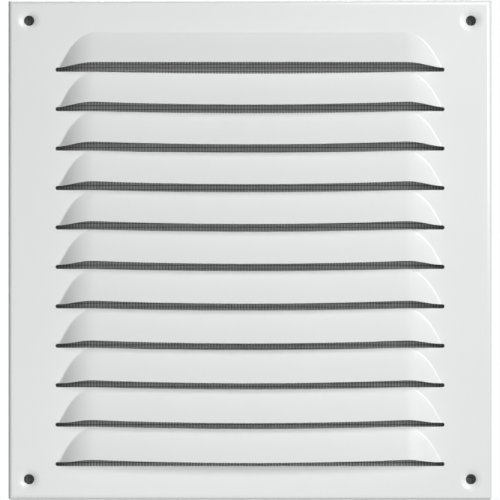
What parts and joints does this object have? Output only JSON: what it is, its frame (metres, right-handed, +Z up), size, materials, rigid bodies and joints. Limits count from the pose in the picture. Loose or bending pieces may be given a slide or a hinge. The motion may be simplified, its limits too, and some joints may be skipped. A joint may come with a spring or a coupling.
{
  "type": "weather grille",
  "caption": "Nearly square louvred weather grille pressed from one white sheet, with turned-back edges, dimpled corner screw holes and a dark insect mesh behind the slots.",
  "frame": {"origin": "centre of the wall plane, on the back edge of the turned-back rim", "axes": "+Z up, +Y into the wall, so the louvred front faces -Y, and +X to the right seen from the front"},
  "size_m": [0.232, 0.0137, 0.24],
  "materials": {
    "white_coat": "glossy white powder coat on thin aluminium sheet",
    "dark_mesh": "matt charcoal coated glass-fibre screen"
  },
  "bodies": {
    "root": {"louvre_plate": "white_coat", "insect_mesh": "dark_mesh"}
  },
  "joints": []
}
